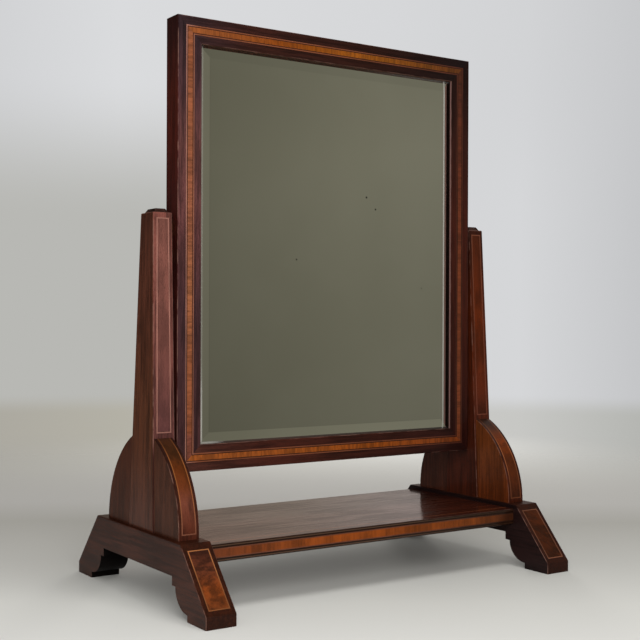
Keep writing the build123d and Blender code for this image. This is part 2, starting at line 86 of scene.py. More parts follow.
# %% Turn picture colours into light
def tint(red, green, blue):
    """A picture's colour as light from 0 to 1, with an alpha of 1."""
    linear = [((c / 255 + 0.055) / 1.055) ** 2.4 if c > 10 else c / 255 / 12.92 for c in (red, green, blue)]
    return (*linear, 1.0)


print("old mahogany reflects", [round(c, 3) for c in tint(72, 36, 28)[:3]])

# %% [markdown]
# ## Shader maths on a bench
#
# A finish is a small network of nodes. Written out one by one the nodes hide the idea, so a wire between
# two of them is wrapped in a class that knows arithmetic: `1 - wear` adds the Math node by itself. The
# bench that the wires lie on has one method to add any other node.


# %% Wires that know arithmetic
class Wire:
    """The output of a node. Arithmetic with it adds Math nodes to its bench."""

    def __init__(self, bench, socket):
        self.bench = bench
        self.socket = socket

    def maths(self, operation, *values):
        return self.bench.node("Math", {"operation": operation}, dict(enumerate(values)))

    def __add__(self, other):
        return self.maths("ADD", self, other)

    def __sub__(self, other):
        return self.maths("SUBTRACT", self, other)

    def __rsub__(self, other):
        return self.maths("SUBTRACT", other, self)

    def __mul__(self, other):
        return self.maths("MULTIPLY", self, other)

    def __pow__(self, other):
        return self.maths("POWER", self, other)

    def __rpow__(self, other):
        return self.maths("POWER", other, self)

    def __neg__(self):
        return 0 - self

    def __abs__(self):
        return self.maths("ABSOLUTE", self)

    __radd__ = __add__
    __rmul__ = __mul__

    def out(self, name):
        """Another output of the node that this wire comes from."""
        return Wire(self.bench, self.socket.node.outputs[name])


def largest(first, *others):
    """The largest of some wires."""
    for other in others:
        first = first.maths("MAXIMUM", first, other)
    return first


def smallest(first, *others):
    """The smallest of some wires."""
    for other in others:
        first = first.maths("MINIMUM", first, other)
    return first


# %% [markdown]
# The bench belongs to one material, or to the world around the object. `node` takes the node's type, then
# its settings, then what goes into its sockets. The helpers below it are the few node recipes that every
# finish shares: where a point lies and which way it faces, noise, a soft step between two values, a band
# between two soft steps, and colours, which are given in picture numbers and turned into light here.


# %% The bench
class Bench:
    """A node tree, and the recipes that lay wires on it."""

    def __init__(self, owner):
        owner.use_nodes = True
        self.owner = owner
        self.tree = owner.node_tree
        self.tree.nodes.clear()

    def node(self, kind, settings=None, sockets=None, out=0):
        made = self.tree.nodes.new("ShaderNode" + kind)
        for name, value in (settings or {}).items():
            if name == "stops":
                self.set_stops(made.color_ramp, value)
            else:
                setattr(made, name, value)
        for name, value in (sockets or {}).items():
            if isinstance(value, Wire):
                self.tree.links.new(value.socket, made.inputs[name])
            else:
                made.inputs[name].default_value = value
        return Wire(self, made.outputs[out]) if made.outputs else made

    @staticmethod
    def set_stops(ramp, stops):
        while len(ramp.elements) < len(stops):
            ramp.elements.new(0.5)
        for element, (place, colour) in zip(ramp.elements, stops):
            element.position = place
            element.color = colour

    def place(self):
        """Where the point lies, in the drawing's metres."""
        return self.node("TexCoord", out="Object")

    def facing(self):
        """Which way the surface faces at the point."""
        return self.node("TexCoord", out="Normal")

    def split(self, vector):
        """The x, y and z of a vector."""
        x = self.node("SeparateXYZ", None, {0: vector})
        return x, x.out("Y"), x.out("Z")

    def along(self, axis):
        """How far along one axis the point lies, in metres."""
        return self.node("SeparateXYZ", None, {0: self.place()}, out=axis)

    def shift(self, vector, scale, start=(0, 0, 0)):
        """The vector made longer or shorter on each axis, then moved."""
        return self.node("Mapping", None, {"Vector": vector, "Scale": scale, "Location": start})

    def noise(self, vector, detail=2.0, roughness=0.5, scale=1.0):
        sockets = {"Vector": vector, "Scale": scale, "Detail": detail, "Roughness": roughness}
        return self.node("TexNoise", None, sockets)

    def step(self, value, low, high):
        """0 below low, 1 above high and a soft curve between them."""
        sockets = {"Value": value, "From Min": low, "From Max": high}
        return self.node("MapRange", {"interpolation_type": "SMOOTHSTEP"}, sockets)

    def band(self, value, rise, fall):
        """1 between two soft steps, a rise and a fall, and 0 outside them."""
        return self.step(value, *rise) * (1 - self.step(value, *fall))

    def mix(self, share, first, second, blend="MIX"):
        """Two colours mixed. Each is a wire or a picture's red, green and blue."""
        first, second = (c if isinstance(c, Wire) else tint(*c) for c in (first, second))
        settings = {"data_type": "RGBA", "blend_type": blend}
        return self.node("Mix", settings, {0: share, 6: first, 7: second}, out=2)

    def ramp(self, value, stops):
        """Colours along a value. A stop is a place from 0 to 1 and a picture's red, green and blue."""
        stops = [(place, tint(*colour)) for place, colour in stops]
        return self.node("ValToRGB", {"stops": stops}, {"Fac": value})

    def surface(self, sockets, height=None, depth=0.0):
        """The shader of a finish and its connection to the output. Height, if any, becomes a bump. The
        wood itself hardly shines: that is left to its coat."""
        sockets = {"Specular IOR Level": 0.06, **sockets}
        if height is not None:
            bumps = {"Height": height, "Distance": depth, "Strength": 1.0}
            sockets = {**sockets, "Normal": self.node("Bump", None, bumps)}
        shader = self.node("BsdfPrincipled", None, sockets)
        self.node("OutputMaterial", None, {"Surface": shader})
        return self.owner


def finish(name):
    return Bench(bpy.data.materials.new(name))


# %% [markdown]
# ## How a board lies in its log
#
# Wood is told by three things: growth rings, which are tubes round the middle of the log, fibres along it,
# and pores, which in mahogany are short dark scratches. Stretched noise alone would do for one face of a
# board, but no ring would run on from the face to the sides and ends. A board is a cut through those
# tubes, so the rings are worked out in the log's space, as a distance from its middle, and the streaks,
# fibres and pores are noise drawn out along it. Each board starts at its own spot of the log, picked by a
# random generator that its name seeds, so a rerun gives the same wood.

# %% Grain from the log
# Waves per metre along the grain and across it
waves = {"sway": (3, 14), "figure": (9, 34), "streak": (13, 280), "fibre": (40, 900), "pore": (190, 2600)}
most_of_noise = (0.32, 0.68)


def along_grain(grain, along, across):
    """Numbers for x, y and z, one along the grain and another across it."""
    return tuple(along if axis == grain else across for axis in "XYZ")


def cut_board(bench, name, grain, rings=95.0, wander=0.012, slant=(0, 0, 0), shares=(0.14, 0.3, 0.32, 0.24)):
    """Tone and pores of the cut, both as wires from 0 to 1. The tone adds rings, figure, streaks and fibres
    in these shares."""
    luck = random.Random(name)
    start = [luck.choice((-1, 1)) * luck.uniform(0.06, 0.16) for _ in range(3)]
    spot = [luck.uniform(-40, 40) for _ in range(3)]
    place = bench.node("Mapping", None, {"Vector": bench.place(), "Rotation": slant})
    drawn_out = {layer: bench.shift(place, along_grain(grain, *waves[layer]), spot) for layer in waves}
    sway = bench.node("VectorMath", {"operation": "MULTIPLY_ADD"}, {
        0: bench.noise(drawn_out["sway"], detail=1).out("Color"),
        1: (wander,) * 3,
        2: bench.shift(place, along_grain(grain, 0, 1), start)})
    from_middle = bench.node("VectorMath", {"operation": "LENGTH"}, {
        0: bench.shift(sway, along_grain(grain, 0, 1))}, out="Value")
    ring = bench.node("TexNoise", {"noise_dimensions": "1D"}, {"W": from_middle * rings, "Detail": 2.0})
    figure, streak, fibre = (bench.noise(drawn_out[layer], detail=2, roughness=0.6)
                             for layer in ("figure", "streak", "fibre"))
    layers = zip((ring, figure, streak, fibre), shares)
    tone = sum(bench.step(layer, *most_of_noise) * share for layer, share in layers)
    pore = bench.noise(drawn_out["pore"], detail=1)
    return tone, bench.step(pore, 0.57, 0.68)


# %% [markdown]
# ## Worn arrises
#
# A hand, a duster and a hundred moves have rubbed the polish thin along every arris, which photographs as
# a thin pale line. The pale brown laid on the arrises is partly that wear and partly a painted highlight,
# the light that a rounded arris catches. Blender's Bevel node could find the arrises, but it is slow. The
# drawing rounds them, so there the surface faces none of the main directions, and that makes the mask: 1
# minus how squarely the surface faces the nearest of them. A foot's sloping toe and a bracket's curve count
# as main directions.
# Where an arris lies in a corner, as along the top of a foot or where a bracket meets its post, nothing
# rubs it.

# %% Find the arrises
toe_forward, toe_up = 0.7504, 0.6611
foot_top = (0.07, 0.0735)


def arris_mask(bench, shape):
    x_facing, y_facing, z_facing = bench.split(bench.facing())
    x, y, z = abs(x_facing), abs(y_facing), abs(z_facing)
    if shape == "bracket":
        square = largest(x, (1 - x * x) ** 0.5)
    elif shape == "foot":
        square = largest(x, y, z, y * toe_forward + z * toe_up)
    else:
        square = largest(x, y, z)
    mask = bench.step(1 - square, 0.015, 0.16)
    _, depth, height = bench.split(bench.place())
    if shape == "foot":
        mask = mask * bench.step(z_facing, -0.2, 0.0) * (1 - bench.step(height, *foot_top))
    if shape == "bracket":
        mask = mask * bench.step(depth * y_facing, 0.0, 0.004)
    return mask


# %% [markdown]
# ## Browns
#
# No board has one brown. Its colour drifts from end to end, partly in the wood and partly as painted light
# and shade, and everywhere the figure makes it a step darker or a step lighter. A single mix of two browns
# would lose the drift. So two ramps run along the board, one darker and one lighter by the same share, and
# the tone of the cut picks a place between them.


# %% Pick a brown
def brown_along(bench, along, browns, tone, spread):
    """A brown, darker or lighter by the spread as the tone says. A list of browns gives each its place."""
    if isinstance(browns, tuple):
        browns = [(0.0, browns), (1.0, browns)]
    first, last = browns[0][0], browns[-1][0]
    walk = (bench.along(along) - first) * (1 / (last - first))
    dark, light = (bench.ramp(walk, [
        ((place - first) / (last - first), [min(c * share, 255) for c in brown])
        for place, brown in browns]) for share in (1 - spread, 1 + spread))
    return bench.mix(tone, dark, light)


# %% [markdown]
# ## Marks on single boards
#
# A few boards carry marks of their own. The right stile's inner face looks on the glass and is painted
# dark as shade, but for a line of painted highlight along the sight edge. Along the shelf's top runs a fine
# pale line, a painted reflection, and its front edge is dark, with a dull line above the band and one below
# it, which fade to the right. These marks are too thin to be modelled as wood, so masks draw them, each from
# the place in the drawing where the mark lies.

# %% Mark two boards
sight_line = (-0.0196, -0.0188), (-0.0174, -0.0164)
reflection_line_depth = -0.0868
edge_middle, line_from_middle = 0.0613, 0.0076


def mark_sight_edge(bench, colour, highlight_brown):
    """The inner face painted dark as shade and its line of painted highlight, on a board whose left face
    looks on the glass.
    """
    # The inner face is painted dark as shade, and a painted highlight runs along its sight edge
    inner = bench.step(-bench.split(bench.facing())[0], 0.6, 0.9)
    colour = bench.mix(inner, colour, (24, 14, 12))
    return bench.mix(inner * bench.band(bench.along("Y"), *sight_line), colour, highlight_brown)


def mark_shelf(bench, colour):
    """The painted reflection line along the top, the dark front edge and its lines."""
    x, depth, height = bench.split(bench.place())
    # A pale line along the top of the shelf: a painted reflection
    reflection_line = 1 - bench.step(abs(depth - reflection_line_depth), 0.0003, 0.0012)
    colour = bench.mix(reflection_line * 0.5, colour, (150, 84, 50))
    ahead = bench.step(-bench.split(bench.facing())[1], 0.3, 0.6)
    colour = bench.mix(ahead, colour, (30, 13, 6))
    from_line = abs(abs(height - edge_middle) - line_from_middle)
    fading = 1 - bench.step(x, 0.02, 0.15) * 0.7
    line = (1 - bench.step(from_line, 0.0002, 0.0008)) * fading
    return bench.mix(ahead * line, colour, (76, 54, 40))


# %% [markdown]
# ## Polished mahogany
#
# Old mahogany is a dark plum brown under shellac. One brown with a gloss would look like plastic. Here the
# pores are darker than the board and lie a little deeper. Over it is the shellac: a clear coat, smooth but
# not like glass, thinner where the arrises are rubbed. The left post and its front bracket are rubbed only
# between two heights, and above and below them the arrises hold dark wax. Under the feet and inside their
# arches the faces are painted near black as shade, and they get no coat.

# %% Make mahogany
pore_brown, dark_wax, rubbed_and_highlight_brown, shade_black = (34, 14, 9), (36, 18, 12), (132, 98, 86), (13, 9, 8)
soft_end = 0.012


def mahogany(name, grain, browns, shape="straight", polish=0.3, spread=0.2, wear=0.6, flank_light_and_shade=None,
             sight_edge_highlight=None, painted_light_under=None, worn=None):
    """A board. The flank browns are those of its left and right faces, painted light and shade that sets
    them apart from the front. The under brown is painted light on its lower faces, which lie in shade. The
    sight edge brown is a painted highlight along the glass. Worn gives the two heights between which the
    arrises are rubbed, where they aren't all rubbed."""
    bench = finish(name)
    tone, pore = cut_board(bench, name, grain)
    tone = bench.step(tone, 0.22, 0.78)
    x_facing, y_facing, z_facing = bench.split(bench.facing())
    _, depth, height = bench.split(bench.place())
    colour = brown_along(bench, grain, browns, tone, spread)
    if flank_light_and_shade:
        # Left and right faces: painted light and shade that sets them apart from the front
        to_the_side = bench.step(abs(x_facing), 0.6, 0.9)
        colour = bench.mix(to_the_side, colour, brown_along(bench, grain, flank_light_and_shade, tone, spread))
    colour = bench.mix(pore * 0.45, colour, pore_brown)
    if sight_edge_highlight:
        colour = mark_sight_edge(bench, colour, sight_edge_highlight)
    if shape == "foot":
        # Under the feet and inside their arches: painted shade, near black, with no coat
        shaded_underside = largest(bench.step(-z_facing, 0.15, 0.5), bench.step(-(depth * y_facing), 0.01, 0.05))
        colour = bench.mix(shaded_underside, colour, shade_black)
    if painted_light_under:
        # Lower faces: painted light, lighter than they would look in their shade
        colour = bench.mix(bench.step(-z_facing, 0.6, 0.9), colour, painted_light_under)
    if name == "shelf":
        colour = mark_shelf(bench, colour)
    arris = arris_mask(bench, shape)
    if worn:
        lowest, highest = worn
        in_reach = bench.band(height, (lowest - soft_end, lowest), (highest, highest + soft_end))
        colour = bench.mix(arris * (1 - in_reach) * 0.8, colour, dark_wax)
        arris = arris * in_reach
    patchy = bench.noise(bench.place(), detail=3, scale=70)
    # Rubbed arrises: worn polish, painted pale as a highlight too
    rubbed_and_highlit = arris * bench.step(patchy, 0.36, 0.64) * wear
    coat = (0.75 + tone * 0.5 - rubbed_and_highlit * 0.4) * polish
    if shape == "foot":
        coat = coat * (1 - shaded_underside)
    return bench.surface({
        "Base Color": bench.mix(rubbed_and_highlit, colour, rubbed_and_highlight_brown),
        "Roughness": 0.42 + tone * 0.14 + rubbed_and_highlit * 0.15,
        "Coat Weight": coat,
        "Coat Roughness": 0.13,
    }, height=tone * 0.5 - pore, depth=0.00006)


# %% [markdown]
# The joiner cut frame, posts, brackets and feet from different boards, so every board has its own browns.
# The browns also hold painted light and shade: the boards on the left are painted lighter, the left stile
# and the left post with a pale pinkish painted sheen, and those on the right are painted darker, where less
# light falls. Where one board changes from end to end, they are written with the place in metres along its
# grain.

# %% Polish the boards
boards = {
    "shelf": dict(grain="X", polish=0.62, spread=0.22, wear=0.15, browns=(50, 19, 10)),
    "frame_left_stile": dict(
        grain="Z", polish=0.35,
        browns=[(0.14, (58, 34, 34)), (0.32, (55, 34, 36)), (0.4, (82, 48, 47)), (0.5, (81, 49, 46)),
                (0.56, (62, 39, 41)), (0.63, (43, 29, 32))],
        flank_light_and_shade=[(0.44, (58, 21, 17)), (0.5, (73, 26, 19)), (0.56, (73, 27, 19)), (0.62, (52, 22, 20))]),
    "frame_right_stile": dict(
        grain="Z", polish=0.18, spread=0.16, wear=0.4, sight_edge_highlight=(136, 102, 96),
        browns=[(0.14, (38, 14, 11)), (0.3, (50, 18, 10)), (0.42, (52, 19, 11)), (0.52, (42, 17, 12)),
                (0.63, (26, 11, 9))]),
    "frame_top_rail": dict(
        grain="X", polish=0.24, painted_light_under=(82, 43, 31),
        browns=[(-0.21, (47, 32, 34)), (-0.12, (46, 22, 17)), (0.05, (34, 14, 9)), (0.2, (18, 9, 10))]),
    "frame_bottom_rail": dict(
        grain="X", polish=0.24,
        browns=[(-0.21, (66, 37, 30)), (-0.1, (56, 25, 18)), (0.08, (44, 18, 12)), (0.2, (36, 15, 13))]),
    "left_foot": dict(grain="Y", shape="foot", polish=0.15, browns=(46, 20, 10), flank_light_and_shade=(65, 37, 28)),
    "right_foot": dict(grain="Y", shape="foot", polish=0.08, browns=(40, 17, 9), flank_light_and_shade=(33, 19, 18)),
    "left_upright": dict(
        grain="Z", worn=(0.168, 0.5), browns=[(0.18, (80, 46, 42)), (0.4, (100, 58, 50))],
        flank_light_and_shade=[(0.08, (77, 43, 31)), (0.2, (84, 48, 31)), (0.32, (82, 45, 32)), (0.42, (74, 40, 29))]),
    "right_upright": dict(
        grain="Z", polish=0.1, wear=0.35,
        browns=[(0.18, (64, 26, 14)), (0.32, (78, 30, 9)), (0.41, (46, 19, 10))]),
    "left_upright_cap": dict(grain="X", polish=0.15, wear=0.1, browns=(36, 20, 16)),
    "right_upright_cap": dict(grain="X", polish=0.1, wear=0.1, browns=(28, 13, 9)),
    "left_front_bracket": dict(
        grain="Z", shape="bracket", polish=0.15, spread=0.16, wear=0.85, worn=(0.05, 0.145),
        browns=[(0.08, (68, 32, 21)), (0.17, (36, 18, 13))], flank_light_and_shade=(76, 44, 31)),
    "left_rear_bracket": dict(
        grain="Z", shape="bracket", polish=0.15, spread=0.16,
        browns=[(0.08, (68, 34, 22)), (0.17, (52, 27, 18))], flank_light_and_shade=(72, 40, 28)),
    "right_front_bracket": dict(
        grain="Z", shape="bracket", polish=0.12, spread=0.16, wear=0.38,
        browns=[(0.08, (60, 23, 10)), (0.17, (42, 20, 13))],
        flank_light_and_shade=[(0.08, (88, 39, 14)), (0.14, (98, 50, 23))]),
    "right_rear_bracket": dict(
        grain="Z", shape="bracket", polish=0.12, spread=0.16, wear=0.38,
        browns=[(0.08, (66, 28, 12)), (0.17, (50, 22, 11))], flank_light_and_shade=(72, 36, 24)),
}
finishes = {name: mahogany(name, **board) for name, board in boards.items()}
print(len(boards), "boards polished")

# %% [markdown]
# ## Figured panels
#
# Inside the stringing the posts, brackets and feet show a veneer from where a branch left the trunk. Its
# colour is more golden, and its figure drifts in soft clouds that run askew. Rings alone can't draw that,
# since the tubes of trunk and branch meet there. So half of the tone is clouds, a noise whose place is
# bent by another noise, and half is the same cut of rings and fibres as in the boards. The browns change
# with the height. They hold painted light and shade too: the left panels are painted lighter, the left
# post's with a pinkish painted sheen, and the right ones darker.


# %% Make figured veneer
def figured(name, grain, browns, lean=0.0, spread=0.2, coat=0.25, curl=46):
    """A veneer that leans by an angle in radians, its clouds with so many waves per metre across."""
    bench = finish(name)
    tone, pore = cut_board(bench, name, grain, slant=(lean, 0, lean))
    spot = [random.Random(name).uniform(-20, 20) for _ in range(3)]
    turned = bench.node("Mapping", None, {"Vector": bench.place(), "Rotation": (lean * 2, 0, lean * 2)})
    bend = bench.noise(turned, detail=1, scale=18).out("Color")
    clouds = bench.node("VectorMath", {"operation": "MULTIPLY_ADD"}, {0: bend, 1: (0.03,) * 3, 2: turned})
    clouds = bench.shift(clouds, along_grain(grain, 16, curl), spot)
    clouds = bench.step(bench.noise(clouds, detail=3), *most_of_noise)
    tone = bench.step(clouds * 0.5 + tone * 0.5, 0.15, 0.85)
    colour = brown_along(bench, "Z", browns, tone, spread)
    return bench.surface({
        "Base Color": bench.mix(pore * 0.4, colour, (36, 16, 8)),
        "Roughness": 0.4 + tone * 0.12,
        "Coat Weight": coat,
        "Coat Roughness": 0.12,
    }, height=tone * 0.5 - pore, depth=0.00005)


panels = {
    "left_upright_panel": dict(
        grain="Z", spread=0.12,
        browns=[(0.18, (84, 50, 48)), (0.29, (105, 63, 55)), (0.4, (108, 66, 57))]),
    "right_upright_panel": dict(
        grain="Z", spread=0.16, coat=0.05,
        browns=[(0.18, (68, 28, 15)), (0.3, (84, 32, 8)), (0.41, (64, 27, 12))]),
    "left_bracket_panel": dict(
        grain="Z", lean=0.15, spread=0.2, coat=0.15,
        browns=[(0.085, (70, 33, 21)), (0.114, (88, 47, 34)), (0.13, (78, 37, 16)), (0.148, (72, 33, 8)),
                (0.165, (60, 32, 14)), (0.182, (34, 20, 15))]),
    "right_bracket_panel": dict(
        grain="Z", lean=-0.15, spread=0.2, coat=0.08,
        browns=[(0.085, (60, 26, 11)), (0.12, (68, 30, 9)), (0.142, (104, 44, 10)), (0.165, (58, 31, 19)),
                (0.182, (34, 18, 12))]),
    "left_foot_panel": dict(
        grain="Y", lean=0.5, spread=0.26, coat=0.12, curl=120,
        browns=[(0.016, (78, 39, 17)), (0.036, (98, 46, 16)), (0.05, (74, 37, 21)), (0.07, (60, 29, 20))]),
    "right_foot_panel": dict(
        grain="Y", lean=-0.5, spread=0.24, coat=0.03, curl=120, browns=(55, 24, 8)),
}
for name, panel in panels.items():
    finishes[name] = figured(name, **panel)
print(len(panels), "panels veneered")

# %% [markdown]
# ## Crossbanding
#
# The orange-brown band is satinwood cut in short lengths, set side by side with the grain running across
# the band. That is why it changes colour a little every few centimetres and is full of fine cross lines.
# Each length could be a piece of its own, but the drawing has the band whole, so its joints are drawn too.
# The lengths are the cells of a one-dimensional Voronoi texture: every cell has its own random colour.


# %% Make the band
def crossband(name, along, browns, length=0.062, spread=0.18, shares=(0.12, 0.62, 0.26)):
    """A band of lengths of veneer. Its tone adds the lengths' own, the fibres and a broad sheen in these
    shares."""
    bench = finish(name)
    luck = random.Random(name)
    spot = [luck.uniform(-30, 30) for _ in range(3)]
    walk = bench.along(along) * (1 / length) + luck.uniform(0, 50)
    cells = {"W": walk, "Randomness": 0.8}
    leaf = bench.node("TexVoronoi", {"voronoi_dimensions": "1D"}, cells, out="Color")
    leaf = bench.node("SeparateColor", None, {0: leaf})
    joint = bench.node("TexVoronoi", {"voronoi_dimensions": "1D", "feature": "DISTANCE_TO_EDGE"}, cells,
                       out="Distance")
    fibre = bench.shift(bench.place(), along_grain(along, 300, 40), spot)
    fibre = bench.step(bench.noise(fibre, detail=4, roughness=0.72), 0.3, 0.7)
    sheen = bench.shift(bench.place(), along_grain(along, 40, 12), spot)
    sheen = bench.step(bench.noise(sheen, detail=2), 0.3, 0.7)
    of_leaf, of_fibre, of_sheen = shares
    tone = bench.step(leaf * of_leaf + fibre * of_fibre + sheen * of_sheen, 0.1, 0.9)
    colour = brown_along(bench, along, browns, tone, spread)
    colour = bench.mix(leaf.out("Green") * 0.12, colour, (140, 70, 34))
    return bench.surface({
        "Base Color": bench.mix(0.2 * (1 - bench.step(joint, 0.0, 0.012)), colour, (66, 28, 14)),
        "Roughness": 0.4 + fibre * 0.12,
        "Coat Weight": 0.25,
        "Coat Roughness": 0.12,
    }, height=fibre, depth=0.00004)


# The bands' browns are painted lighter on the left, the left stile's with a pinkish painted sheen, and
# darker on the right, as painted light and shade. The shelf's band is darker at its right end.
bands = {
    "shelf_crossband": dict(
        along="X", length=0.075, spread=0.19, shares=(0.18, 0.32, 0.5),
        browns=[(-0.21, (87, 44, 24)), (-0.12, (111, 53, 18)), (-0.04, (121, 57, 15)), (0.06, (108, 51, 12)),
                (0.15, (108, 52, 16)), (0.205, (40, 23, 15))]),
    "frame_left_crossband": dict(
        along="Z",
        browns=[(0.16, (100, 57, 46)), (0.176, (100, 57, 46)), (0.18, (116, 64, 40)), (0.34, (128, 77, 49)),
                (0.42, (118, 70, 49)), (0.62, (119, 68, 43))]),
    "frame_right_crossband": dict(
        along="Z",
        browns=[(0.16, (97, 48, 27)), (0.3, (92, 45, 24)), (0.5, (77, 36, 23)), (0.62, (58, 29, 20))]),
    "frame_top_crossband": dict(
        along="X",
        browns=[(-0.2, (118, 66, 33)), (-0.08, (106, 51, 9)), (0.05, (116, 64, 10)), (0.19, (80, 43, 16))]),
    "frame_bottom_crossband": dict(
        along="X",
        browns=[(-0.2, (136, 72, 29)), (-0.06, (126, 64, 20)), (0.06, (121, 58, 10)),
                (0.19, (100, 46, 18))]),
}
for name, band in bands.items():
    finishes[name] = crossband(name, **band)
print(len(bands), "bands laid")

# %% [markdown]
# ## Strings and lines
#
# The light lines are boxwood and the dark ones are pearwood dyed black, both planed to about a
# millimetre and pressed into a groove. At that width no grain shows, only how the colour drifts, so one
# slow noise and one fine one are enough. Polish has turned the boxwood from cream to a warm tan. The
# strings are painted lightest on the left, with a pinkish painted sheen, and darker towards the right, as
# painted shade.


# %% Make strings and lines
def string(name, along, browns, spread=0.16):
    bench = finish(name)
    age = bench.noise(bench.place(), detail=3, scale=24)
    fibre = bench.noise(bench.place(), detail=2, scale=900)
    tone = bench.step(age, 0.3, 0.68) * 0.75 + fibre * 0.25
    return bench.surface({
        "Base Color": brown_along(bench, along, browns, tone, spread),
        "Roughness": 0.4 + fibre * 0.16,
        "Coat Weight": 0.25,
        "Coat Roughness": 0.13,
    }, height=fibre, depth=0.00004)


# Painted lighter on the left, with a pinkish sheen, and darker to the right as painted shade
boxwood = [(-0.205, (140, 98, 86)), (-0.185, (108, 62, 40)), (0.08, (98, 54, 34)), (0.2, (64, 32, 22))]
dyed = [(-0.205, (50, 23, 15)), (0.2, (36, 16, 10))]
strips = {
    "frame_outer_strings": ("X", boxwood),
    "frame_inner_strings": ("X", boxwood),
    "frame_outer_lines": ("X", dyed),
    "frame_inner_lines": ("X", dyed),
    "shelf_edge_strings": ("X", [(-0.2, (94, 54, 38)), (0.1, (92, 52, 35)), (0.2, (44, 26, 18))]),
    "left_upright_stringing": ("Z", (137, 94, 82)),
    "right_upright_stringing": ("Z", [(0.18, (94, 50, 36)), (0.41, (96, 54, 38))]),
    "left_bracket_stringing": ("Z", [(0.08, (128, 78, 58)), (0.14, (124, 72, 34)), (0.182, (66, 36, 20))]),
    "right_bracket_stringing": ("Z", [(0.08, (108, 58, 34)), (0.14, (122, 70, 40)), (0.182, (66, 38, 24))]),
    "left_foot_stringing": ("Z", [(0.015, (112, 66, 36)), (0.07, (128, 80, 46))]),
    "right_foot_stringing": ("Z", (98, 60, 42)),
}
for name, strip in strips.items():
    finishes[name] = string(name, *strip)
print(len(strips), "strings and lines let in")

# %% [markdown]
# ## The plain woods inside
#
# The backboard and the little blocks behind the glass are deal, bare and browned by a hundred years of
# air. In deal the rings are plain to see, as dark lines of summer growth, while the fibres hardly show.
# The dowels are beech, which has small darker flecks. Neither was ever polished, so there is no coat, and
# the fibres stand up enough to feel. The boards' own recipe makes them, with the rings in the lead. Dust
# has darkened them towards the outside, by the distance from the nearest side of their box.


# %% Make bare wood
def bare_wood(name, grain, browns, rings, fleck=0.0):
    bench = finish(name)
    tone, pore = cut_board(bench, name, grain, rings=rings, wander=0.02, shares=(0.66, 0.06, 0.14, 0.14))
    colour = bench.ramp(tone, zip((0.15, 0.45, 0.8), browns))
    colour = bench.mix(pore * fleck, colour, (96, 60, 38))
    x, _, z = bench.split(bench.place())
    low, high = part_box(name)
    from_side = smallest(x - low.x, high.x - x, z - low.z, high.z - z)
    drift = bench.noise(bench.place(), detail=4, scale=14) * 0.05
    dust = 1 - bench.step(from_side + drift, 0.02, 0.075)
    return bench.surface({
        "Base Color": bench.mix(dust * 0.4, colour, (88, 64, 44)),
        "Roughness": 0.72 + tone * 0.18,
    }, height=tone, depth=0.00018)


deal = [(124, 88, 56), (156, 120, 82), (176, 141, 100)]
beech = [(160, 118, 84), (182, 142, 104), (200, 164, 126)]
finishes["backboard"] = bare_wood("backboard", "Z", deal, rings=240)
finishes["plate_blocks"] = bare_wood("plate_blocks", "Z", deal, rings=300)
finishes["shelf_dowels"] = bare_wood("shelf_dowels", "X", beech, rings=200, fleck=0.8)
print(len(finishes), "pieces of wood finished in all")

# %% [markdown]
# ## Brass, steel and leather
#
# The plates that carry the pins are cast brass, rubbed on a file and then left to tarnish. Pins and the
# backboard's screws are mild steel with a trace of rust. Both are the same recipe: a metal with fine
# scratches one way, dulled in patches, and rust where a finer noise peaks. Between frame and post a
# leather washer gives the swing its grip, and its skin is the cells of a Voronoi texture.


# %% Make the metals and the leather
def metal(name, bright, dull, scratch_axis, rust=0.0):
    bench = finish(name)
    tarnish = bench.step(bench.noise(bench.place(), detail=4, scale=140), 0.35, 0.65)
    scratch = bench.noise(bench.shift(bench.place(), along_grain(scratch_axis, 60, 2400)), detail=2)
    spots = bench.step(bench.noise(bench.place(), detail=4, scale=420), 0.58, 0.7) * rust
    return bench.surface({
        "Base Color": bench.mix(spots, bench.mix(tarnish * 0.7, bright, dull), (88, 46, 26)),
        "Metallic": 1 - spots * 0.9,
        "Roughness": 0.3 + tarnish * 0.2 + scratch * 0.1 + spots * 0.3,
    }, height=scratch, depth=0.00003)


def leather(name):
    bench = finish(name)
    cells = bench.node("TexVoronoi", None, {"Vector": bench.place(), "Scale": 1400.0}, out="Distance")
    oil = bench.noise(bench.place(), detail=3, scale=260)
    colour = bench.ramp(oil, [(0.3, (58, 34, 22)), (0.7, (96, 60, 38))])
    return bench.surface({"Base Color": colour, "Roughness": 0.6 + cells * 0.25}, height=cells, depth=0.0001)


brass = (206, 168, 96), (128, 96, 52)
steel = (168, 164, 158), (104, 98, 92)
for name in nodes:
    if name.endswith(("socket_plate", "pivot_plate", "plate_screws")):
        finishes[name] = metal(name, *brass, "Z")
    elif name.endswith("pivot_pin") or name == "backboard_screws":
        finishes[name] = metal(name, *steel, "X", rust=0.7)
    elif name.endswith("washer"):
        finishes[name] = leather(name)
print(len(finishes), "pieces with a finish, metal and leather included")

# %% [markdown]
# ## The looking-glass
#
# The plate is a sheet of glass, silvered behind. Its front edge is ground to a shallow bevel all round.
# The drawing has the bevel with knife-sharp arrises, while a grinder's wheel leaves them a hair round, and
# that hair catches the light. A Bevel modifier would round the plate's back edges as well. So the plate is
# made again here as rings, from the back edge to the flat middle, each ring a rectangle at its own
# distance from the edge and its own depth.


# %% Grind the plate
def ring_of(mesh, low, high, inset, y):
    corners = [(low.x + inset, low.z + inset), (high.x - inset, low.z + inset),
               (high.x - inset, high.z - inset), (low.x + inset, high.z - inset)]
    return [mesh.verts.new((x, y, z)) for x, z in corners]


